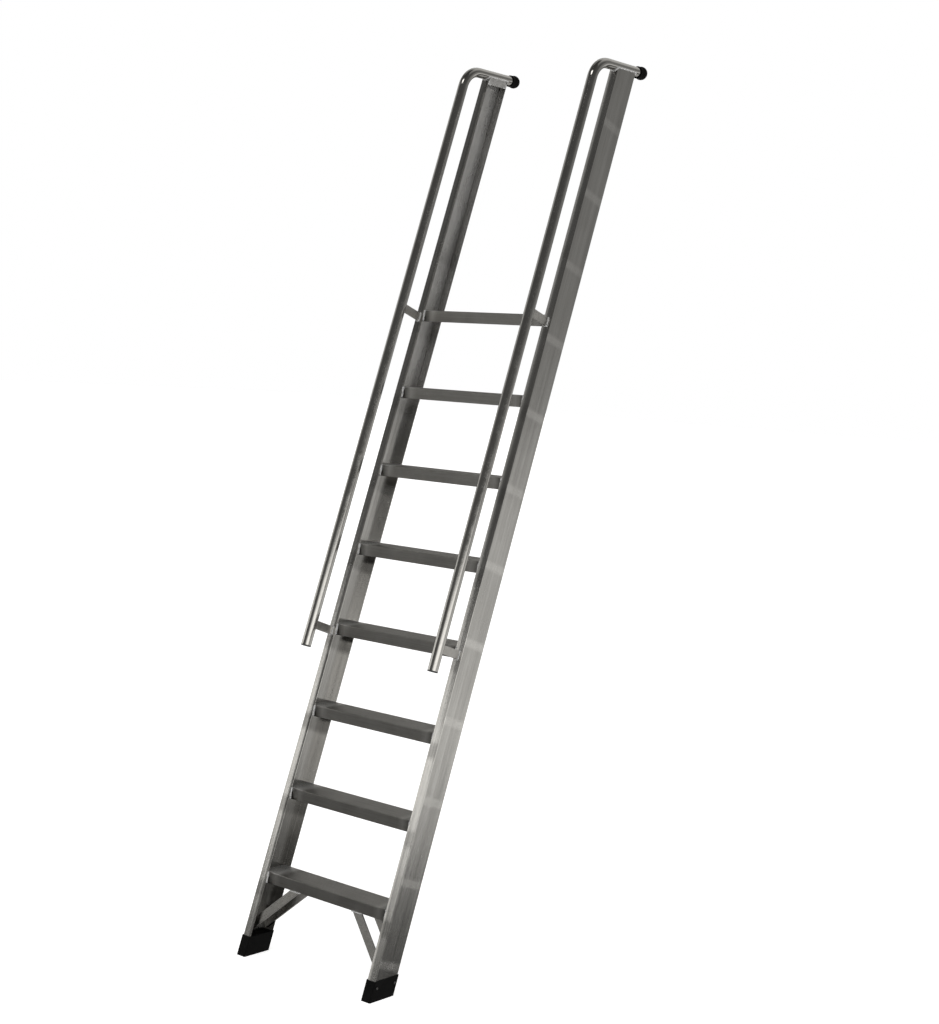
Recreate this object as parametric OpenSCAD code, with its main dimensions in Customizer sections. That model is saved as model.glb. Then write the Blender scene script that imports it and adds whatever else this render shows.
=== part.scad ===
// Boat boarding ladder: welded aluminium, eight treads, two bent handrails with hull bumpers.
// Units mm, +Z up, floor at z = 0, +X to the climber's right, +Y towards the boat.
// The ladder stands at its working lean, so the treads and the foot soles are level.
// Origin: middle of the bounding box on the floor.

/* [Overall] */
// Lean of the stiles, degrees from the floor
lean = 72; // [68:1:76]
// Tread pitch, measured along the stile
pitch = 250; // [235:5:270]
// Width over the two stiles
width = 520; // [440:10:600]
// Height of the axis of the handrail's level run above the floor
top_height = 2655; // [2550:5:2760]

/* [Stiles] */
// Depth of the channel, front to back
stile_depth = 88; // [76:2:100]
// Width of the channel's flanges
stile_flange = 28; // [26:1:30]
// Wall thickness of the channel
stile_wall = 3; // [2.5:0.5:4]
// Corner radius outside the channel
stile_corner = 2; // [1:0.5:3]

/* [Treads] */
// Height of the tread's front face
tread_front = 34; // [26:1:38]
// Height of the tread's back face
tread_back = 20; // [14:1:24]
// Thickness of the tread's walls
tread_wall = 3; // [2.5:0.5:4]
// Number of grip grooves along the tread
tread_grooves = 9; // [5:1:11]
// Depth of each grip groove
groove_depth = 0.8; // [0.4:0.1:1.2]

/* [Handrails] */
// Outside diameter of the rail tube
rail_d = 30; // [28:1:32]
// Wall thickness of the rail tube
rail_wall = 2.5; // [1.5:0.5:4]
// Distance of the rail's axis in front of the stile's front face
rail_offset = 90; // [80:2:100]
// Bend radius of the rail's axis
rail_bend = 75; // [60:5:85]
// Distance of the rail's lower end from the floor, along the stile
rail_start = 910; // [850:10:940]
// Height of the brackets along the stile
bracket_h = 25; // [20:1:30]
// Thickness of the brackets
bracket_t = 6; // [4:1:8]
// Drop of the brackets' middle below the tread's top, along the stile
bracket_drop = 24; // [20:1:30]

/* [Stile tops] */
// Height of the plate that closes the top of each channel
plate_h = 25; // [18:1:35]
// Thickness of the top plate
plate_t = 4; // [3:0.5:5]

/* [Hull bumpers] */
// Diameter of the rubber ball
bumper_d = 40; // [36:1:50]
// Distance of the ball's centre behind the back of the stile
bumper_reach = 44; // [36:1:60]
// Length of the bumper's collar in front of the ball's centre
collar_len = 21; // [16:1:24]

/* [Braces] */
// Width of the brace bar
brace_w = 25; // [20:1:30]
// Thickness of the brace bar
brace_t = 5; // [4:1:6]
// Height at which the brace's middle passes the stile's edge
brace_z = 99; // [92:1:110]

/* [Feet] */
// Height of the rubber shoe
foot_h = 55; // [48:1:65]
// Thickness of the shoe's outer wall
foot_wall = 3; // [2:0.5:5]
// Thickness of the sole under the channel
foot_sole = 12; // [8:1:20]
// Height of the shoe's rivets above the floor
rivet_z = 36; // [30:1:40]

/* [Hidden] */
$fn = 48;
cl = 0.2;
rail_r = rail_d / 2;
bore_r = rail_r - rail_wall;
half = width / 2;
rail_x = half - stile_flange / 2;
lip_x = half - stile_flange;
web_x = half - stile_wall;
// the stile's long axis seen from the side
cs = cos(lean);
sn = sin(lean);
// height at which the round rail's side meets the channel's edges
cut_z = top_height - sqrt(rail_r * rail_r - pow(stile_flange / 2, 2));
// handrail bend: centre across and along the stile
bend_n = rail_bend - rail_offset;
bend_s = (top_height - rail_bend + bend_n * cs) / sn;
bend_y = bend_n * sn + bend_s * cs;
// back of the stile at the height of the level run
stile_back_y = (stile_depth + top_height * cs) / sn;
ball_y = stile_back_y + bumper_reach;
// bounding box from front to back
y_front = -foot_wall / sn;
y_back = ball_y + bumper_d / 2;
y_shift = -(y_front + y_back) / 2;
// tread section
gap_in = stile_wall + cl;
tread_d = (stile_depth - 2 * gap_in) / sn;
nose = 3;
// undersides of tread 1's front and back faces
front_under = pitch * sn - gap_in * cs - tread_front;
back_under = pitch * sn - gap_in * cs - tread_back;
// the front bar lies under the tread's front face, the rear one against the rear flange
front_n = gap_in + tread_front * cs - 1;
rear_n = stile_depth - stile_wall - brace_t;

// ---- frames ----

// children in row coordinates before the origin is moved to the middle
module placed() {
    translate([0, y_shift, 0]) children();
}

// children drawn as (x, across the stile, along the stile), then leant back
module leant() {
    rotate([lean - 90, 0, 0]) children();
}

// everything between two heights
module slab(z0, z1) {
    translate([-width, -width, z0]) cube([2 * width, 5 * width, z1 - z0]);
}

module on_left() {
    mirror([1, 0, 0]) children();
}

// ---- stiles ----

module rounded_rect(w, h, r) {
    translate([r, 0]) square([w - 2 * r, h]);
    translate([0, r]) square([w, h - 2 * r]);
    for (x = [r, w - r])
        for (y = [r, h - r])
            translate([x, y]) circle(r);
}

// channel section of the right stile, open towards the middle of the ladder
module channel_2d() {
    difference() {
        translate([lip_x, 0]) rounded_rect(stile_flange, stile_depth, stile_corner);
        translate([lip_x - 5, stile_wall])
            square([stile_flange - stile_wall + 5, stile_depth - 2 * stile_wall]);
    }
    // square lips at the open side
    for (y = [0, stile_depth - stile_wall])
        translate([lip_x, y]) square([stile_corner + 1, stile_wall]);
}

module channel_bar() {
    leant() translate([0, 0, -60]) linear_extrude(top_height / sn + 160) channel_2d();
}

// outside of the rail tube's level run, used to cope what meets it
module rail_run_solid() {
    translate([rail_x, bend_y - 40, top_height])
        rotate([-90, 0, 0])
            cylinder(h = 400, r = rail_r);
}

module stile() {
    color("silver")
        placed()
            difference() {
                intersection() {
                    channel_bar();
                    slab(foot_sole, cut_z);
                }
                rail_run_solid();
                rivet_holes(2.5);
            }
}

module stile_right() {
    stile();
}

module stile_left() {
    on_left() stile();
}

// ---- treads ----

// side view of a tread: y back, z up, front top edge at the origin
module tread_2d() {
    back_dy = tread_back * cs / sn;
    w_slope = tread_wall / sn;
    difference() {
        union() {
            // top plate with a rounded nose
            translate([nose, -tread_wall - 1]) square([tread_d - nose - 1, tread_wall + 1]);
            translate([nose, -nose]) circle(nose);
            // front face
            translate([0, -tread_front]) square([tread_wall, tread_front - nose]);
            // inward lip under the front face
            translate([0, -tread_front]) square([9, tread_wall]);
            // back face, parallel to the stile
            polygon([[tread_d - w_slope, 0],
                     [tread_d - back_dy - w_slope, -tread_back],
                     [tread_d - back_dy, -tread_back],
                     [tread_d, 0]]);
        }
        // grip grooves
        for (i = [0 : tread_grooves - 1])
            translate([9 + i * (tread_d - 18) / (tread_grooves - 1) - 1.25, -groove_depth])
                square([2.5, groove_depth + 1]);
    }
}

module tread(k) {
    s = k * pitch;
    y = gap_in * sn + s * cs;
    z = s * sn - gap_in * cs;
    color("lightgrey")
        placed()
            translate([-web_x, y, z])
                rotate([90, 0, 90])
                    linear_extrude(2 * web_x) tread_2d();
}

module tread_1() {
    tread(1);
}

module tread_2() {
    tread(2);
}

module tread_3() {
    tread(3);
}

module tread_4() {
    tread(4);
}

module tread_5() {
    tread(5);
}

module tread_6() {
    tread(6);
}

module tread_7() {
    tread(7);
}

module tread_8() {
    tread(8);
}

// ---- handrails ----

// straight leg of the rail with the given section
module rail_leg(s0) {
    leant()
        translate([rail_x, -rail_offset, s0])
            linear_extrude(bend_s - s0) children();
}

// bend of the rail, reaching a hair into the leg and the level run
module rail_elbow() {
    leant()
        translate([rail_x, bend_n, bend_s])
            rotate([90, 0, 90])
                rotate([0, 0, 180 - lean - 0.2])
                    rotate_extrude(angle = lean + 0.4)
                        translate([rail_bend, 0]) children();
}

// level run of the rail with the given section
module rail_run(y_end) {
    translate([rail_x, bend_y, top_height])
        rotate([-90, 0, 0])
            linear_extrude(y_end - bend_y) children();
}

// section of the tube; the bend's wall is thinner by a hair on both sides
module rail_section(thinner = 0) {
    difference() {
        circle(rail_r - thinner);
        circle(bore_r + thinner);
    }
}

module handrail() {
    color("gainsboro")
        placed() {
            rail_leg(rail_start) rail_section();
            rail_elbow() rail_section(0.05);
            rail_run(ball_y + 4) rail_section();
        }
}

module handrail_right() {
    handrail();
}

module handrail_left() {
    on_left() handrail();
}

// plug in the rail's open lower end
module rail_plug() {
    color("dimgray")
        placed()
            leant()
                translate([rail_x, -rail_offset, rail_start]) {
                    translate([0, 0, -3]) cylinder(h = 3, r = rail_r);
                    cylinder(h = 18, r = bore_r - 0.05);
                }
}

module rail_plug_right() {
    rail_plug();
}

module rail_plug_left() {
    on_left() rail_plug();
}

// flat bar that ties the rail to the stile just below tread k's top
module rail_bracket(k) {
    color("silver")
        placed()
            difference() {
                leant()
                    translate([rail_x - bracket_t / 2, -rail_offset,
                               k * pitch - bracket_drop - bracket_h / 2])
                        cube([bracket_t, rail_offset, bracket_h]);
                rail_leg(rail_start) circle(rail_r);
            }
}

module rail_bracket_lower_right() {
    rail_bracket(4);
}

module rail_bracket_lower_left() {
    on_left() rail_bracket(4);
}

module rail_bracket_upper_right() {
    rail_bracket(8);
}

module rail_bracket_upper_left() {
    on_left() rail_bracket(8);
}

// ---- stile tops and bumpers ----

// plate that closes the channel's mouth under the rail
module top_plate() {
    color("silver")
        placed()
            difference() {
                intersection() {
                    leant()
                        translate([lip_x, gap_in, 0])
                            cube([plate_t, stile_depth - 2 * gap_in, top_height / sn + 100]);
                    slab(cut_z - plate_h, cut_z);
                }
                rail_run_solid();
            }
}

module top_plate_right() {
    top_plate();
}

module top_plate_left() {
    on_left() top_plate();
}

// rubber ball on the rail's end that rests against the hull
module hull_bumper() {
    color("#222222")
        placed()
            translate([rail_x, ball_y, top_height])
                rotate([-90, 0, 0])
                    difference() {
                        union() {
                            sphere(bumper_d / 2);
                            translate([0, 0, -collar_len]) cylinder(h = collar_len, r = rail_r + 2.5);
                        }
                        translate([0, 0, -collar_len - 1]) cylinder(h = collar_len + 5, r = rail_r);
                    }
}

module hull_bumper_right() {
    hull_bumper();
}

module hull_bumper_left() {
    on_left() hull_bumper();
}

// ---- braces ----

// flat bar at 45 degrees from a tread's underside, z_top, to the web; n is across the stile
module brace(n, z_top) {
    // where the bar's middle passes the stile's edge, along the stile
    s_lip = (brace_z + (n + brace_t / 2) * cs) / sn;
    color("silver")
        placed()
            intersection() {
                leant()
                    intersection() {
                        translate([lip_x, n, s_lip])
                            rotate([0, -45, 0])
                                translate([-brace_w / 2, 0, -100])
                                    cube([brace_w, brace_t, 400]);
                        translate([0, n - 1, -50]) cube([web_x, brace_t + 2, 600]);
                    }
                slab(20, z_top);
            }
}

module brace_front() {
    brace(front_n, front_under);
}

module brace_rear() {
    brace(rear_n, back_under);
}

module brace_front_right() {
    brace_front();
}

module brace_front_left() {
    on_left() brace_front();
}

module brace_rear_right() {
    brace_rear();
}

module brace_rear_left() {
    on_left() brace_rear();
}

// ---- feet ----

module shoe_2d() {
    translate([lip_x - foot_wall, -foot_wall])
        rounded_rect(stile_flange + 2 * foot_wall, stile_depth + 2 * foot_wall, 4);
}

module foot() {
    color("#1c1c1c")
        placed()
            difference() {
                intersection() {
                    leant() translate([0, 0, -80]) linear_extrude(300) shoe_2d();
                    slab(0, foot_h);
                }
                intersection() {
                    channel_bar();
                    slab(foot_sole, foot_h + 50);
                }
                rivet_holes(2.5);
            }
}

module foot_right() {
    foot();
}

module foot_left() {
    on_left() foot();
}

// places of the two rivets, on the outside of the shoe, axis along x
module at_rivets() {
    for (n = [12, stile_depth - 8])
        translate([half + foot_wall, (n + rivet_z * cs) / sn, rivet_z])
            rotate([0, 90, 0])
                children();
}

module rivet_holes(r) {
    at_rivets() translate([0, 0, -14]) cylinder(h = 30, r = r);
}

module foot_rivets() {
    color("dimgray")
        placed()
            at_rivets() {
                cylinder(h = 1.4, r1 = 4, r2 = 2.8);
                translate([0, 0, -13]) cylinder(h = 13, r = 2.45);
            }
}

module foot_rivets_right() {
    foot_rivets();
}

module foot_rivets_left() {
    on_left() foot_rivets();
}

// ---- drawing ----

stile_left();
stile_right();
tread_1();
tread_2();
tread_3();
tread_4();
tread_5();
tread_6();
tread_7();
tread_8();
handrail_left();
handrail_right();
rail_plug_left();
rail_plug_right();
hull_bumper_left();
hull_bumper_right();
rail_bracket_lower_left();
rail_bracket_lower_right();
rail_bracket_upper_left();
rail_bracket_upper_right();
top_plate_left();
top_plate_right();
brace_front_left();
brace_front_right();
brace_rear_left();
brace_rear_right();
foot_left();
foot_right();
foot_rivets_left();
foot_rivets_right();
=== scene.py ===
import math

import bmesh
import bpy
from mathutils import Matrix, Vector

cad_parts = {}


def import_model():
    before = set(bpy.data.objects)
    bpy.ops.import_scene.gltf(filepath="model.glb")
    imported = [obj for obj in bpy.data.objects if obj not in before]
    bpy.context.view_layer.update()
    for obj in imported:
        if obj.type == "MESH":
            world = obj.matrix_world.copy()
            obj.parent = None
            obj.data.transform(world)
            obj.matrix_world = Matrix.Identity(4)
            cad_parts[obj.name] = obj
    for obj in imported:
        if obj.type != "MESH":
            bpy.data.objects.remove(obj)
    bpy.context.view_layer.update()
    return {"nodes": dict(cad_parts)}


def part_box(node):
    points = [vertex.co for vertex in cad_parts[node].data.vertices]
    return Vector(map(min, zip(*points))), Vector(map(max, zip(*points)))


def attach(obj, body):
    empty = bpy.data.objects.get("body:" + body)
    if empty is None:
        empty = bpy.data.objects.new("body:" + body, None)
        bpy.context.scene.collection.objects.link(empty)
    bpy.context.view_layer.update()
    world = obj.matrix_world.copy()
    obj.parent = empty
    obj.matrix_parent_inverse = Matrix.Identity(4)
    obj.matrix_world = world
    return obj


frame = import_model()

MM = 0.001

# ---------------------------------------------------------------- ladder frame
# The stiles lean back. N runs across a stile and S along it, both in millimetres from the
# front edge of the stile where it meets the floor. X is the row's own, and the ladder is
# symmetrical about X = 0.
LEAN = math.radians(72)
CS, SN = math.cos(LEAN), math.sin(LEAN)
stile_lo, stile_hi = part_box("stile_right")
foot_lo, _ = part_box("foot_right")
_, rail_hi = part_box("handrail_right")

HALF = stile_hi.x / MM  # outer face of a stile's web
LIP = stile_lo.x / MM  # free edge of its flanges
FLANGE = HALF - LIP
DEPTH = 88.0  # stile section, front to rear
SHOE_WALL = 3.0  # how far the shoe stands in front of the stile
Y0 = foot_lo.y / MM + SHOE_WALL / SN

PITCH = 250.0  # treads along the stile
TREADS = 8
BRACKET_TREADS = (4, 8)

RAIL_X = (HALF + LIP) / 2
RAIL_OFF = 90.0  # handrail axis in front of the stile
RAIL_R = 15.0
TOP_Z = rail_hi.z / MM - RAIL_R  # height of the handrail's level run

SIDES = (("left", -1), ("right", 1))

# What turns Object coordinates into X, N, S order for a material, and where the ladder's
# own N = 0 and S = 0 lie on those turned axes (mm).
TURN = (math.pi / 2 - LEAN, 0, 0)
N0 = Y0 * SN
S0 = Y0 * CS


def at(x, n, s):
    """Point x, N, S of the ladder (mm) in row metres."""
    return Vector((x, Y0 + n * SN + s * CS, -n * CS + s * SN)) * MM


def at_z(x, n, z):
    """Point x, N at height z (mm) in row metres."""
    return Vector((x, Y0 + (n + z * CS) / SN, z)) * MM


# ---------------------------------------------------------------- node helpers
class Tree:
    """Short calls for building a node tree."""

    def __init__(self, tree):
        self.nodes = tree.nodes
        self.links = tree.links

    def node(self, kind, **settings):
        x = self.nodes.new(kind)
        for key, value in settings.items():
            setattr(x, key, value)
        return x

    def put(self, socket, value):
        """Links an output to a socket, or sets the socket's own value."""
        if isinstance(value, bpy.types.NodeSocket):
            self.links.new(value, socket)
        else:
            socket.default_value = value

    def math(self, op, *values, clamp=False):
        x = self.node("ShaderNodeMath", operation=op, use_clamp=clamp)
        for socket, value in zip(x.inputs, values):
            self.put(socket, value)
        return x.outputs[0]

    def times(self, first, *rest):
        for value in rest:
            first = self.math("MULTIPLY", first, value)
        return first

    def plus(self, first, *rest):
        for value in rest:
            first = self.math("ADD", first, value)
        return first

    def without(self, value):
        return self.math("SUBTRACT", 1.0, value)

    def above(self, value, limit):
        return self.math("GREATER_THAN", value, limit)

    def sway(self, pattern, width):
        """A 0 to 1 pattern as a length from -width / 2 to width / 2."""
        return self.times(self.math("SUBTRACT", pattern, 0.5), width)

    def vmath(self, op, *values):
        x = self.node("ShaderNodeVectorMath", operation=op)
        for socket, value in zip(x.inputs, values):
            self.put(socket, value)
        return x.outputs["Value" if op == "DOT_PRODUCT" else "Vector"]

    def mapping(self, vec, rot, scale=(1, 1, 1)):
        x = self.node("ShaderNodeMapping")
        self.put(x.inputs["Vector"], vec)
        self.put(x.inputs["Rotation"], rot)
        self.put(x.inputs["Scale"], scale)
        return x.outputs[0]

    def xyz(self, vec):
        x = self.node("ShaderNodeSeparateXYZ")
        self.put(x.inputs[0], vec)
        return x.outputs

    def facing(self):
        return self.node("ShaderNodeNewGeometry").outputs["True Normal"]

    def noise(self, vec, scale, detail=2.0, rough=0.5, distort=0.0):
        x = self.node("ShaderNodeTexNoise")
        self.put(x.inputs["Vector"], vec)
        self.put(x.inputs["Scale"], scale)
        self.put(x.inputs["Detail"], detail)
        self.put(x.inputs["Roughness"], rough)
        self.put(x.inputs["Distortion"], distort)
        return x.outputs["Fac"]

    def grain(self, vec, per_metre, detail, rough, distort=0.0):
        """Noise stretched to its own number of cycles per metre on each axis."""
        return self.noise(self.vmath("MULTIPLY", vec, per_metre), 1.0, detail, rough, distort)

    def voronoi(self, vec, scale):
        x = self.node("ShaderNodeTexVoronoi")
        self.put(x.inputs["Vector"], vec)
        self.put(x.inputs["Scale"], scale)
        return x.outputs["Distance"]

    def span(self, value, a, b, lo=0.0, hi=1.0, smooth=False):
        """Carries a to lo and b to hi, and holds them beyond."""
        x = self.node("ShaderNodeMapRange")
        if smooth:
            x.interpolation_type = "SMOOTHSTEP"
        self.put(x.inputs["Value"], value)
        self.put(x.inputs["From Min"], a)
        self.put(x.inputs["From Max"], b)
        self.put(x.inputs["To Min"], lo)
        self.put(x.inputs["To Max"], hi)
        return x.outputs["Result"]

    def mix(self, fac, a, b):
        x = self.node("ShaderNodeMix", data_type="RGBA")
        self.put(x.inputs[0], fac)
        self.put(x.inputs[6], a)
        self.put(x.inputs[7], b)
        return x.outputs[2]

    def ramp(self, fac, *stops):
        x = self.node("ShaderNodeValToRGB")
        self.put(x.inputs[0], fac)
        elements = x.color_ramp.elements
        while len(elements) < len(stops):
            elements.new(0.5)
        for element, (position, colour) in zip(elements, stops):
            element.position = position
            element.color = colour
        return x.outputs[0]

    def bump(self, height, strength, dist, normal=None):
        x = self.node("ShaderNodeBump")
        self.put(x.inputs["Strength"], strength)
        self.put(x.inputs["Distance"], dist)
        self.put(x.inputs["Height"], height)
        if normal is not None:
            self.put(x.inputs["Normal"], normal)
        return x.outputs[0]

    def rounded(self, radius):
        """A soft edge normal, so that cut edges catch the light."""
        x = self.node("ShaderNodeBevel", samples=4)
        self.put(x.inputs["Radius"], radius)
        return x.outputs[0]


def new_material(name):
    """A new material, its tree, its shader's inputs and its Object coordinates."""
    m = bpy.data.materials.new(name)
    m.use_nodes = True
    t = Tree(m.node_tree)
    shader = next(n for n in t.nodes if n.type == "BSDF_PRINCIPLED")
    return m, t, shader.inputs, t.node("ShaderNodeTexCoord").outputs["Object"]


PALEST = 0.98


def grey(value, warm=0.0):
    return (value * (1 + warm), value, value * (1 - warm * 1.6), 1)


def paler(tone, by, warm=0.0):
    return grey(min(tone * by, PALEST), warm)


def level(value):
    """A plain grey for a ramp that is used as a number."""
    return (value, value, value, 1)


# ---------------------------------------------------------------- materials
# Crosswise pads of brighter metal on the outer face of a stile, mm along the turned axis
PAD_AT = 177.0
PAD_STEP = 228.0
# The middle of the painted shade below the front edge of each tread
SHADE_BELOW = 50.0
# Wall of the extrusion, and how near the web's outer face a point on it is, mm
WALL = 3.0
NEAR_FACE = 0.4
# Heights along the turned axis, m: where the painted shade below the treads thins out and
# where it stops, how far the ramp of painted shade towards the foot reaches, and where the
# oxide starts and is complete
SHADE_THINS = (0.7, 1.5)
SHADE_STOPS = (2.02, 2.08)
FOOT_SHADE_TO = 2.5
OXIDE_STARTS = (1.35, 1.75)
# How far a flange's rolled edge reaches in from its lip, mm, and how far it tips
ROLL_WIDTH = 15.0
ROLL_TIP = 0.30
# the grey of the painted shade inside the channel
SHADE_GREY = grey(0.10, 0.03)


def stile_extrusion():
    """Mill-finish extrusion: die lines along the stile, oxide mottling, handling scuffs,
    pads on the outer face, and painted shade and matt oxide inside the channel."""
    tone, rough = 0.70, 0.125
    m, t, shader, co = new_material("stile_extrusion")
    turned = t.mapping(co, rot=TURN)
    x, n, s = t.xyz(turned)
    reach = t.math("ABSOLUTE", x)

    lines = t.grain(turned, (520, 520, 2.2), 3, 0.6)
    fine = t.grain(turned, (1900, 1900, 5.0), 2, 0.6)
    cloud = t.grain(turned, (16, 16, 5), 4, 0.6, 0.4)
    broad = t.grain(turned, (64, 64, 1.3), 4, 0.55)
    patch = t.noise(co, 5.5, 3, 0.55)

    mottle = t.plus(t.times(lines, 0.25), t.times(cloud, 0.3), t.times(broad, 0.45))
    colour = t.ramp(mottle, (0.32, grey(tone * 0.76, 0.012)), (0.5, grey(tone, 0.012)),
                    (0.66, paler(tone, 1.2, 0.008)))
    dull = t.plus(t.span(fine, 0.3, 0.7, rough - 0.04, rough + 0.05),
                  t.span(patch, 0.35, 0.7, -0.02, 0.04))

    # scuffs: short pale scratches in patches
    scratch = t.noise(t.mapping(co, rot=(0.7, 0.3, 0.5), scale=(60, 900, 60)), 1.0, 1)
    scuff = t.times(t.span(scratch, 0.68, 0.74), t.span(patch, 0.52, 0.62))
    colour = t.mix(t.times(scuff, 0.45), colour, paler(tone, 1.3))

    # pads, wandering a little and ragged at their edges
    outer = t.above(reach, (HALF - NEAR_FACE) * MM)
    wander = t.sway(t.noise(co, 2.3, 1), 0.012)
    along = t.plus(t.math("SUBTRACT", s, PAD_AT * MM), wander)
    from_pad = t.plus(t.math("PINGPONG", along, PAD_STEP * MM / 2), t.sway(lines, 0.006))
    pad = t.times(t.span(from_pad, 0.004, 0.018, 1.0, 0.0, smooth=True), outer,
                  t.span(cloud, 0.3, 0.6, 0.45, 1.0))
    colour = t.mix(t.times(pad, 0.95), colour, paler(tone, 1.45, 0.01))
    dull = t.plus(dull, t.times(pad, 0.1))

    # painted shade: a band below each tread, weaker higher up and none above the last tread
    from_shade_line = t.math("PINGPONG", t.plus(s, (SHADE_BELOW - S0) * MM), PITCH * MM / 2)
    tread_shade = t.times(t.span(from_shade_line, 0.012, 0.034, 1.0, 0.0, smooth=True), t.without(outer),
                   t.span(s, *SHADE_STOPS, 1.0, 0.0), t.span(cloud, 0.3, 0.62, 1.0, 0.55),
                   t.span(s, *SHADE_THINS, 1.0, 0.4))
    colour = t.mix(t.times(tread_shade, 0.62), colour, SHADE_GREY)

    # painted shade inside the channel, darker towards the foot
    height = t.plus(s, t.sway(cloud, 0.15))
    foot_shade = t.ramp(t.span(height, 0.0, FOOT_SHADE_TO), (0.0, level(0.72)), (0.08, level(0.66)),
                   (0.16, level(0.36)), (0.42, level(0.22)), (0.52, level(0.04)))
    within = t.without(t.above(reach, (HALF - WALL / 2) * MM))
    behind_front = t.span(n, (N0 + WALL - 0.4) * MM, (N0 + WALL + 0.6) * MM)
    inside = t.times(within, behind_front)
    colour = t.mix(t.times(foot_shade, inside), colour, SHADE_GREY)

    # matt oxide on the web's inner face near the top
    before_rear = t.span(n, (N0 + DEPTH - 5.0) * MM, (N0 + DEPTH - 3.5) * MM, 1.0, 0.0)
    oxide = t.times(t.span(height, *OXIDE_STARTS, smooth=True), t.times(inside, before_rear))

    t.put(shader["Base Color"], colour)
    t.put(shader["Roughness"], t.math("ADD", dull, t.times(scuff, 0.15), clamp=True))
    t.put(shader["Metallic"],
          t.without(t.times(oxide, t.span(cloud, 0.3, 0.7, 0.22, 0.34))))
    t.put(shader["Anisotropic"], 0.9)
    t.put(shader["Tangent"], t.vmath("CROSS_PRODUCT", t.facing(), (0, CS, SN)))

    # the front flange rolls over slightly towards its free edge
    roll = t.times(
        t.span(reach, (LIP + ROLL_WIDTH) * MM, LIP * MM, 0.0, ROLL_TIP, smooth=True),
        t.span(n, (N0 + 0.5) * MM, (N0 + 1.5) * MM, 1.0, 0.0),
        t.times(t.math("SIGN", x), -1.0))
    tip = t.node("ShaderNodeCombineXYZ")
    t.put(tip.inputs[0], roll)
    normal = t.vmath("NORMALIZE", t.vmath("ADD", t.rounded(1.6 * MM), tip.outputs[0]))
    for pattern, strength, dist in ((lines, 0.4, 0.6), (fine, 0.3, 0.3), (broad, 0.15, 1.2),
                                    (cloud, 0.2, 0.8)):
        normal = t.bump(pattern, strength, dist * MM, normal)
    t.put(shader["Normal"], normal)
    return m


# Where the marks near a tread's ends start and end, m from a tread's own end: a painted
# highlight on the left end of each top, a pale band, and a darker front
LEFT_TOP_HIGHLIGHT = (0.060, 0.025)
PALE_STARTS = (0.050, 0.030)
PALE_ENDS = (0.028, 0.018)
FRONT_DARKER = (0.020, 0.005)
# How squarely a face must look forwards or upwards to be a tread's front or top
SQUARE = 0.7


def end_marks_and_highlight(t, co, cloud, colour):
    """Marks near the ends of a tread, with a painted highlight on the left end of each top:
    returns its colour, and where it is matt.
    """
    x = t.xyz(co)[0]
    reach = t.plus(t.math("ABSOLUTE", x), t.sway(cloud, 0.02))

    def rise(starts, ends, lo=0.0, hi=1.0, smooth=False):
        return t.span(reach, LIP * MM - starts, LIP * MM - ends, lo, hi, smooth)

    facing = t.xyz(t.facing())
    front = t.above(t.times(facing[1], -1.0), SQUARE)
    top = t.above(facing[2], SQUARE)
    # a pale band near each end, and a painted highlight on the left end of each top, which is
    # also made matt
    band = t.times(rise(*PALE_STARTS), rise(*PALE_ENDS, 1.0, 0.0))
    matt = t.times(rise(*LEFT_TOP_HIGHLIGHT, smooth=True), top, t.math("LESS_THAN", x, 0.0))
    pale = t.math("MAXIMUM", t.times(band, 0.5), matt)
    colour = t.mix(pale, colour, grey(0.97, 0.01))
    # the front face darker near each end
    dark_front = t.times(rise(*FRONT_DARKER, smooth=True), front)
    return t.mix(t.times(dark_front, 0.6), colour, grey(0.14, 0.03)), matt


def satin_bar(name, tone, rough, per_metre, marked_ends=False):
    """Flat bar and tread stock: satin grain, mottling and pale spots."""
    m, t, shader, co = new_material(name)
    grain = t.grain(co, per_metre, 3, 0.62)
    fine = t.grain(co, tuple(v * 3.1 for v in per_metre), 2, 0.6)
    cloud = t.noise(co, 13, 4, 0.6, 0.3)

    mottle = t.plus(t.times(grain, 0.55), t.times(cloud, 0.45))
    colour = t.ramp(mottle, (0.25, grey(tone * 0.74, 0.02)), (0.5, grey(tone, 0.018)),
                    (0.76, paler(tone, 1.2, 0.01)))
    spots = t.times(t.span(t.noise(co, 75, 3, 0.7), 0.62, 0.72), t.span(cloud, 0.45, 0.6))
    colour = t.mix(t.times(spots, 0.35), colour, paler(tone, 1.35))
    metallic = 1.0
    # the tread stock gets marks near its ends and a painted highlight on the left end of each
    # top
    if marked_ends:
        colour, matt = end_marks_and_highlight(t, co, cloud, colour)
        metallic = t.span(matt, 0.0, 1.0, 1.0, 0.76)

    t.put(shader["Base Color"], colour)
    t.put(shader["Metallic"], metallic)
    t.put(shader["Roughness"], t.plus(t.span(fine, 0.3, 0.7, rough - 0.06, rough + 0.07),
                                      t.span(cloud, 0.3, 0.7, -0.05, 0.06)))
    normal = t.bump(grain, 0.2, 0.5 * MM, t.rounded(1.2 * MM))
    t.put(shader["Normal"], t.bump(fine, 0.12, 0.2 * MM, normal))
    return m


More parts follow.
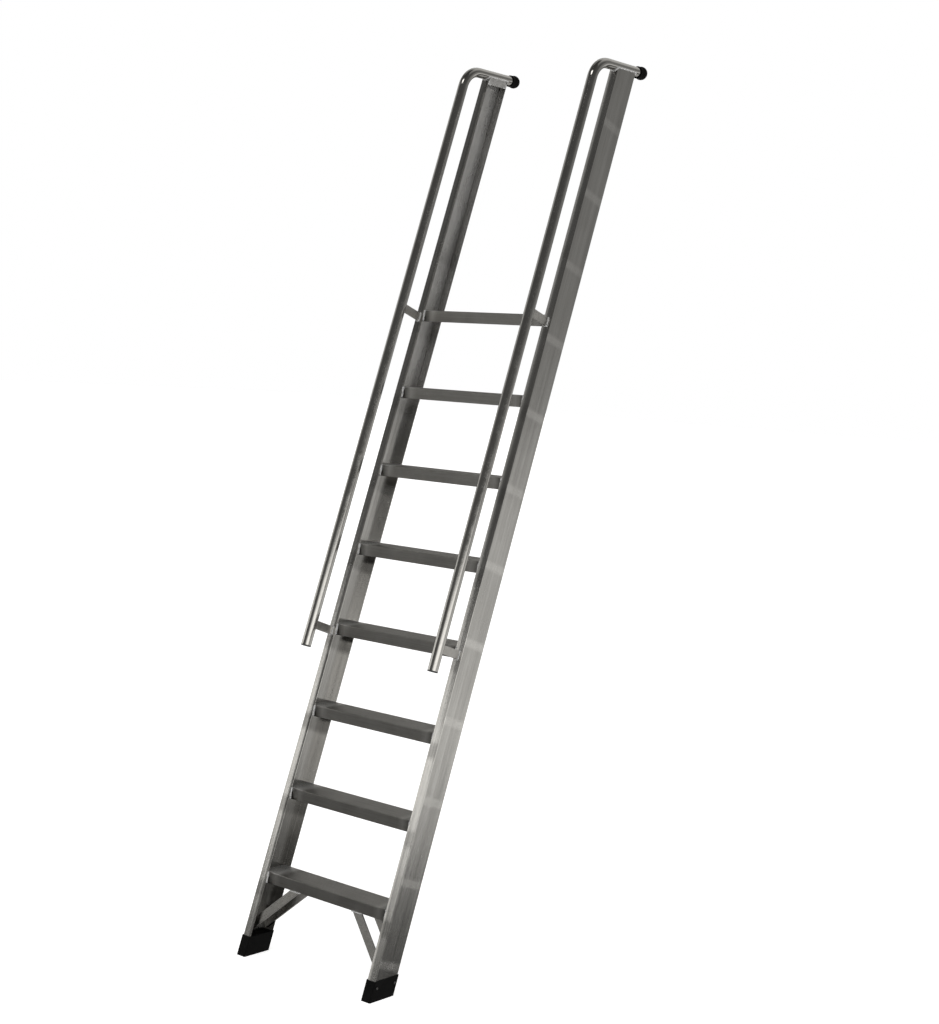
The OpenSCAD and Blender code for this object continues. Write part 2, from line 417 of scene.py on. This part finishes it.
def polished_tube():
    """Polished tube: faint polishing lines along its legs and its level run, and haze."""
    tone = 0.74
    m, t, shader, co = new_material("polished_tube")
    on_leg = t.vmath("MULTIPLY", t.mapping(co, rot=TURN), (700, 700, 3.0))
    on_level = t.vmath("MULTIPLY", co, (700, 3.0, 700))
    pick = t.node("ShaderNodeMix", data_type="VECTOR")
    t.put(pick.inputs[0], t.span(t.xyz(co)[2], (TOP_Z - 40) * MM, (TOP_Z - 20) * MM))
    t.put(pick.inputs[4], on_leg)
    t.put(pick.inputs[5], on_level)
    lines = t.noise(pick.outputs[1], 1.0, 3, 0.65)
    haze = t.noise(co, 22, 4, 0.65, 0.6)
    scratch = t.noise(t.mapping(co, rot=(0.4, 0.9, 0.2), scale=(30, 420, 30)), 1.0)
    marks = t.times(t.span(scratch, 0.66, 0.73), t.span(haze, 0.48, 0.6))

    mottle = t.plus(t.times(lines, 0.4), t.times(haze, 0.6))
    t.put(shader["Base Color"], t.ramp(mottle, (0.3, grey(tone * 0.88, 0.02)),
                                       (0.7, paler(tone, 1.06, 0.01))))
    t.put(shader["Roughness"], t.plus(t.span(lines, 0.3, 0.7, 0.055, 0.12),
                                      t.span(haze, 0.4, 0.75, 0.0, 0.09),
                                      t.times(marks, 0.07)))
    t.put(shader["Metallic"], 1.0)
    t.put(shader["Normal"], t.bump(haze, 0.06, 1.2 * MM, t.bump(lines, 0.06, 0.4 * MM)))
    return m


def rubber(name, ribbed=False):
    """Moulded black rubber: fine pores, dust and, on the shoes, shallow ribs."""
    tone = 0.004
    m, t, shader, co = new_material(name)
    cloud = t.noise(co, 40, 5, 0.65)
    dust = t.span(t.noise(co, 14, 5, 0.7, 0.5), 0.5, 0.75)
    colour = t.ramp(cloud, (0.3, level(tone * 0.7)), (0.7, level(tone * 1.5)))
    colour = t.mix(t.times(dust, 0.25), colour, (tone * 4, tone * 3.9, tone * 3.7, 1))
    t.put(shader["Base Color"], colour)
    t.put(shader["Roughness"], t.span(cloud, 0.3, 0.7, 0.5, 0.72))
    t.put(shader["Specular IOR Level"], 0.12)
    normal = t.bump(t.voronoi(co, 900), 0.25, 0.3 * MM, t.rounded(1.6 * MM))
    if ribbed:
        x, n, _ = t.xyz(t.mapping(co, rot=TURN))
        wave = t.math("ABSOLUTE", t.math("SINE", t.times(t.plus(x, n), 700.0)))
        normal = t.bump(t.math("POWER", wave, 0.5), 0.55, 1.2 * MM, normal)
    t.put(shader["Normal"], normal)
    return m


def weld_bead():
    """Weld bead: bright, spattered metal, half dulled by its own oxide."""
    tone = 0.86
    m, t, shader, co = new_material("weld_bead")
    cloud = t.noise(co, 160, 4, 0.65)
    spots = t.noise(co, 620, 2, 0.6)
    t.put(shader["Base Color"], t.ramp(cloud, (0.3, grey(tone * 0.72)), (0.55, grey(tone)),
                                       (0.8, paler(tone, 1.15))))
    t.put(shader["Roughness"], t.span(spots, 0.3, 0.7, 0.28, 0.46))
    t.put(shader["Metallic"], 0.5)
    t.put(shader["Normal"], t.bump(spots, 0.4, 0.4 * MM))
    return m


def rivet_steel():
    """Dull steel rivet with a slightly hammered head."""
    m, t, shader, co = new_material("rivet_steel")
    dents = t.noise(co, 700, 3, 0.6)
    t.put(shader["Base Color"], t.ramp(dents, (0.3, grey(0.16)), (0.7, grey(0.34))))
    t.put(shader["Roughness"], t.span(dents, 0.3, 0.7, 0.3, 0.5))
    t.put(shader["Metallic"], 1.0)
    t.put(shader["Normal"], t.bump(dents, 0.35, 0.4 * MM, t.rounded(0.6 * MM)))
    return m


def plug_plastic():
    """Semi-gloss moulded plastic with a fine spark texture."""
    tone = 0.05
    m, t, shader, co = new_material("plug_plastic")
    grain = t.noise(co, 1400, 2, 0.6)
    cloud = t.noise(co, 60, 3, 0.6)
    t.put(shader["Base Color"], t.ramp(cloud, (0.3, level(tone * 0.75)),
                                       (0.7, level(tone * 1.3))))
    t.put(shader["Roughness"], t.span(cloud, 0.3, 0.7, 0.32, 0.5))
    t.put(shader["Normal"], t.bump(grain, 0.25, 0.3 * MM, t.rounded(0.8 * MM)))
    return m


STILE = stile_extrusion()
TREAD = satin_bar("tread_satin", 0.60, 0.40, (6.0, 620.0, 620.0), marked_ends=True)
# The rail brackets and the braces are the same flat bar; the brackets' paler tone is painted
# light, and the braces' darker tone is painted shade under tread 1.
FLAT_BAR_LIT = satin_bar("flat_bar_lit", 0.84, 0.32, (90.0, 90.0, 90.0))
BRACE_BAR_SHADED = satin_bar("brace_bar_shaded", 0.46, 0.30, (110.0, 110.0, 110.0))
BALL = rubber("bumper_rubber")
WELD = weld_bead()

# a node takes the material of the longest of these that its name starts with
BY_NODE = {
    "stile": STILE,
    "top_plate": STILE,
    "tread": TREAD,
    "rail_bracket": FLAT_BAR_LIT,
    "brace": BRACE_BAR_SHADED,
    "handrail": polished_tube(),
    "rail_plug": plug_plastic(),
    "hull_bumper": BALL,
    "foot": rubber("shoe_rubber", ribbed=True),
    "foot_rivets": rivet_steel(),
}
for name, obj in frame["nodes"].items():
    key = max((k for k in BY_NODE if name.startswith(k)), key=len)
    obj.data.materials.clear()
    obj.data.materials.append(BY_NODE[key])


# ---------------------------------------------------------------- new pieces
def join(bm, rings, closed):
    """Faces between neighbouring rings of vertices, and from the last to the first."""
    pairs = list(zip(rings, rings[1:])) + ([(rings[-1], rings[0])] if closed else [])
    for a, b in pairs:
        for k in range(len(a)):
            after = (k + 1) % len(a)
            bm.faces.new((a[k], a[after], b[after], b[k]))


RIPPLE = 3.4 * MM  # length of one ripple of a weld bead
BEAD_STEP = 1.4 * MM
BEAD_SIDES = 10
BEAD_FLAT = 0.8


def bead_into(bm, path, radius, closed=False, seed=0.0):
    """Sweeps a rippled weld bead along a path of points (m) into bm."""
    points = [Vector(p) for p in path]
    if closed:
        points.append(points[0])
    line = []
    for a, b in zip(points, points[1:]):
        steps = max(1, round((b - a).length / BEAD_STEP))
        line += [a.lerp(b, i / steps) for i in range(steps)]
    if not closed:
        line.append(points[-1])

    count = len(line)
    rings = []
    side = None
    for i, p in enumerate(line):
        before = line[(i - 1) % count] if closed or i else line[0]
        after = line[(i + 1) % count] if closed or i < count - 1 else line[-1]
        ahead = (after - before).normalized()
        if side is None:
            side = ahead.cross(Vector((0.31, 0.17, 0.93))).normalized()
        side = (side - ahead * side.dot(ahead)).normalized()
        up = ahead.cross(side)
        ripple = 0.86 + 0.14 * abs(math.sin(math.pi * (i * BEAD_STEP / RIPPLE + seed)))
        swell = 1 + 0.10 * math.sin(i * 0.37 + seed * 5) + 0.06 * math.sin(i * 0.91 + seed * 3)
        r = radius * ripple * swell
        if not closed:
            # both ends run down to a point
            from_end = min(1.0, min(i, count - 1 - i) * BEAD_STEP / radius)
            r *= math.sqrt(max(0.04, 1 - (1 - from_end) ** 2))
        ring = []
        for k in range(BEAD_SIDES):
            a = 2 * math.pi * k / BEAD_SIDES
            offset = side * (r * math.cos(a)) + up * (r * BEAD_FLAT * math.sin(a))
            ring.append(bm.verts.new(p + offset))
        rings.append(ring)

    join(bm, rings, closed)
    if not closed:
        bm.faces.new(list(reversed(rings[0])))
        bm.faces.new(rings[-1])


def turned_into(bm, profile, centre, axis, sides=40):
    """Turns a closed loop of (radius, along) pairs round an axis into bm."""
    axis = Vector(axis)
    side = axis.cross(Vector((0.2, 0.1, 0.97))).normalized()
    up = axis.cross(side)
    angles = [2 * math.pi * k / sides for k in range(sides)]
    rings = [[bm.verts.new(centre + axis * along + side * (r * math.cos(a))
                           + up * (r * math.sin(a))) for a in angles]
             for r, along in profile]
    join(bm, rings, True)


def piece(name, bm, material):
    mesh = bpy.data.meshes.new(name)
    bmesh.ops.recalc_face_normals(bm, faces=bm.faces)
    bm.to_mesh(mesh)
    bm.free()
    mesh.materials.append(material)
    for polygon in mesh.polygons:
        polygon.use_smooth = True
    o = bpy.data.objects.new(name, mesh)
    bpy.context.scene.collection.objects.link(o)
    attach(o, "root")


def tread_welds(bm, _, sx):
    """Welds between the tread ends and the channel: down the front lip, and behind."""
    for k in range(1, TREADS + 1):
        s = k * PITCH
        front = [at(sx * (LIP + 0.3), 2.2, s + 1), at(sx * LIP, 3.2, s - 14),
                 at(sx * LIP, 5.5, s - 33)]
        bead_into(bm, front, 3.6 * MM, seed=k * 0.7 + sx)
        rear = [at(sx * LIP, 84.0, s + 25), at(sx * LIP, 83.6, s + 7)]
        bead_into(bm, rear, 3.0 * MM, seed=k * 1.3 + sx)


def bracket_welds(bm, _, sx):
    """Welds round both roots of each rail bracket, on the stile and on the tube."""
    # N of the root, half its width and height there, and the bead's radius
    on_stile = (-0.6, 3.6, 13.0, 2.7)
    on_tube = (RAIL_R - RAIL_OFF + 0.4, 3.2, 12.6, 2.2)
    for k in BRACKET_TREADS:
        s = k * PITCH - 24.0
        for n, half_w, half_h, r in (on_stile, on_tube):
            loop = [at(sx * (RAIL_X + a * half_w), n, s + b * half_h)
                    for a, b in ((-1, -1), (1, -1), (1, 1), (-1, 1))]
            bead_into(bm, loop, r * MM, closed=True, seed=k + n)


def top_welds(bm, side, sx):
    """Weld round a stile's top, where the channel is coped to the tube, and at its plate."""
    first = math.asin(math.sqrt(RAIL_R ** 2 - (FLANGE / 2) ** 2) / RAIL_R)
    arc = [first + (math.pi - 2 * first) * i / 10 for i in range(11)]
    r = RAIL_R + 0.6

    def cope(n, angles):
        return [at_z(sx * (RAIL_X + r * math.cos(a)), n, TOP_Z - r * math.sin(a))
                for a in angles]

    loop = cope(-0.6, arc) + cope(DEPTH + 0.4, reversed(arc))
    bead_into(bm, loop, 2.6 * MM, closed=True, seed=sx)

    plate_lo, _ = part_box("top_plate_" + side)
    z = plate_lo.z / MM
    x = sx * (LIP - 0.2)
    front = [at_z(x, 4, z + 13), at_z(x, 4, z + 1), at_z(x, 16, z - 0.4)]
    rear = [at_z(x, 72, z - 0.4), at_z(x, 84, z + 1), at_z(x, 84, z + 15)]
    bead_into(bm, front, 2.2 * MM, seed=2 + sx)
    bead_into(bm, rear, 2.2 * MM, seed=3 + sx)


def brace_welds(bm, side, sx):
    """Welds round the top ends of the braces, under tread 1."""
    length, half = 35.4, 2.9
    for where in ("front", "rear"):
        lo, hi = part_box(f"brace_{where}_{side}")
        top = hi.z / MM
        inner = min(abs(lo.x), abs(hi.x)) / MM
        # N of the bar's middle, from the height and depth of its top end
        middle = (hi.y / MM - Y0) * SN - top * CS - 2.5
        loop = [at_z(sx * (inner + a), middle + b, top - 0.4)
                for a, b in ((0, -half), (length, -half), (length, half), (0, half))]
        bead_into(bm, loop, 2.2 * MM, closed=True, seed=sx + top)


def bumper_trim(bm, side, sx):
    """Mould line round a bumper ball, and a rolled lip on its collar."""
    lo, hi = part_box("hull_bumper_" + side)
    ball_r = (hi.z - lo.z) / 2
    centre = Vector(((lo.x + hi.x) / 2, hi.y - ball_r, (lo.z + hi.z) / 2))

    def oval(r, along, r_half, along_half, count):
        angles = (2 * math.pi * i / count for i in range(count))
        return [(r + r_half * MM * math.cos(a), along + along_half * MM * math.sin(a))
                for a in angles]

    turned_into(bm, oval(ball_r - 0.1 * MM, 0, 0.35, 0.5, 8), centre, (0, 0, 1))
    collar = lo.y - centre.y + 1.6 * MM
    turned_into(bm, oval((RAIL_R + 2.5) * MM, collar, 1.0, 1.5, 10), centre, (0, 1, 0))


for prefix, fill, material, slot in (
        ("tread_welds_", tread_welds, WELD, "stile_aluminium"),
        ("bracket_welds_", bracket_welds, WELD, "stile_aluminium"),
        ("top_welds_", top_welds, WELD, "stile_aluminium"),
        ("brace_welds_", brace_welds, WELD, "bar_aluminium"),
        ("bumper_trim_", bumper_trim, BALL, "bumper_rubber")):
    for side, sx in SIDES:
        bm = bmesh.new()
        fill(bm, side, sx)
        piece(prefix + side, bm, material)

# ---------------------------------------------------------------- floor, light, camera
scene = bpy.context.scene
scene.view_settings.view_transform = "Standard"


def floor():
    bm = bmesh.new()
    bmesh.ops.create_grid(bm, x_segments=4, y_segments=4, size=60)
    mesh = bpy.data.meshes.new("floor")
    bm.to_mesh(mesh)
    bm.free()
    o = bpy.data.objects.new("floor", mesh)
    scene.collection.objects.link(o)
    m, t, shader, co = new_material("floor_paper")
    t.put(shader["Base Color"], t.ramp(t.noise(co, 1.5), (0.3, level(0.86)), (0.7, level(0.88))))
    t.put(shader["Roughness"], 0.9)
    t.put(shader["Specular IOR Level"], 0.1)
    t.put(shader["Emission Color"], (1, 1, 1, 1))
    t.put(shader["Emission Strength"], 0.72)
    mesh.materials.append(m)
    # the metal mirrors the room below instead of the pale floor
    o.visible_glossy = False


def sun():
    light = bpy.data.lights.new("soft_top", "SUN")
    light.energy = 1.35
    light.angle = math.radians(85)
    o = bpy.data.objects.new("soft_top", light)
    o.rotation_euler = (math.radians(12), math.radians(8), 0)
    o.visible_glossy = False
    scene.collection.objects.link(o)


# Soft panels in the room that the metal mirrors. Each has its heading in degrees from +X
# towards +Y, its middle as the z of a unit direction, how much that drops sideways, half
# its width and height, and its level.
PANELS = (
    # low to the right and behind, for the lower webs, with a dark strip along its foot
    (50, -0.165, 0.0, 0.62, 0.122, 0.34),
    (50, -0.222, 0.0, 0.62, 0.036, 0.16),
    (50, -0.262, 0.0, 0.62, 0.011, -0.26),
    # a faint one behind, for the upper webs, and one to the left
    (75, 0.13, 0.0, 0.80, 0.20, 0.085),
    (175, 0.20, 0.0, 0.45, 0.36, 0.32),
    # in front to the left, for the front flanges' lower half and for their rolled lips
    (-135, 0.238, 0.0, 0.28, 0.060, 0.92),
    (-166, 0.092, 0.0, 0.30, 0.11, 0.60),
    # in front to the right, for the rails' bright stripe and the left channel's inside
    (-22, 0.162, -0.25, 0.58, 0.088, 1.2),
    # high behind and high in front, for the bends of the rails
    (100, 0.62, 0.0, 0.55, 0.30, 0.42),
    (-88, 0.80, 0.0, 0.20, 0.050, 2.2),
    # low behind, for the back of the ladder
    (90, -0.75, 0.0, 0.80, 0.32, 0.32),
)
# The room itself, from straight down (0) to straight up (1): palest near the horizon
ROOM = ((0.0, 0.03), (0.345, 0.04), (0.37, 0.12), (0.5, 0.15), (0.53, 0.12), (0.60, 0.10),
        (0.70, 0.075), (1.0, 0.04))
ROOM_TINT = (1.0, 0.985, 0.94)


def world():
    w = bpy.data.worlds.new("studio")
    scene.world = w
    w.use_nodes = True
    t = Tree(w.node_tree)
    for n in list(t.nodes):
        t.nodes.remove(n)
    out = t.node("ShaderNodeOutputWorld")
    direction = t.node("ShaderNodeTexCoord").outputs["Generated"]
    z = t.xyz(direction)[2]

    glow = []
    for heading, height, slant, half_w, half_h, strength in PANELS:
        a = math.radians(heading)
        ahead = t.vmath("DOT_PRODUCT", direction, (math.cos(a), math.sin(a), 0))
        across = t.vmath("DOT_PRODUCT", direction, (-math.sin(a), math.cos(a), 0))
        middle = t.math("MULTIPLY_ADD", across, slant, height)
        u = t.math("DIVIDE", across, half_w)
        v = t.math("DIVIDE", t.math("SUBTRACT", z, middle), half_h)
        # a rounded rectangle with soft edges
        depth = t.plus(t.math("POWER", t.math("ABSOLUTE", u), 4.0),
                       t.math("POWER", t.math("ABSOLUTE", v), 8.0))
        shape = t.math("EXPONENT", t.times(depth, -1.0))
        glow.append(t.times(shape, t.above(ahead, 0.0), strength))
    room = t.ramp(t.span(z, -1, 1), *((share, level(v)) for share, v in ROOM))
    brightness = t.plus(t.plus(*glow), room)

    colour = t.node("ShaderNodeCombineColor")
    for socket, part in zip(colour.inputs, ROOM_TINT):
        t.put(socket, t.times(brightness, part))
    mirrored = t.node("ShaderNodeBackground")
    t.put(mirrored.inputs["Color"], colour.outputs[0])
    # the camera itself sees white paper
    paper = t.node("ShaderNodeBackground")
    t.put(paper.inputs["Color"], (1, 1, 1, 1))
    pick = t.node("ShaderNodeMixShader")
    t.put(pick.inputs[0], t.node("ShaderNodeLightPath").outputs["Is Camera Ray"])
    t.put(pick.inputs[1], mirrored.outputs[0])
    t.put(pick.inputs[2], paper.outputs[0])
    t.put(out.inputs["Surface"], pick.outputs[0])


CAMERA_AT = (3.3697, -4.0152, 1.7279)
CAMERA_HEADING = 39.277  # degrees from +Y towards -X
CAMERA_DOWN = 4.584
CAMERA_ROLL = 3.613
CAMERA_LENS = 62.261


def camera():
    data = bpy.data.cameras.new("camera")
    o = bpy.data.objects.new("camera", data)
    scene.collection.objects.link(o)
    heading, down, roll = (math.radians(a) for a in
                           (CAMERA_HEADING, CAMERA_DOWN, CAMERA_ROLL))
    ahead = Vector((-math.sin(heading) * math.cos(down),
                    math.cos(heading) * math.cos(down), -math.sin(down)))
    level_right = Vector((math.cos(heading), math.sin(heading), 0))
    level_up = level_right.cross(ahead)
    right = level_right * math.cos(roll) + level_up * math.sin(roll)
    up = level_up * math.cos(roll) - level_right * math.sin(roll)
    o.matrix_world = (Matrix.Translation(CAMERA_AT)
                      @ Matrix((right, up, -ahead)).transposed().to_4x4())
    data.lens = CAMERA_LENS
    data.sensor_fit = "AUTO"
    data.clip_start, data.clip_end = 0.05, 300
    data.dof.use_dof = False
    scene.camera = o


floor()
sun()
world()
camera()
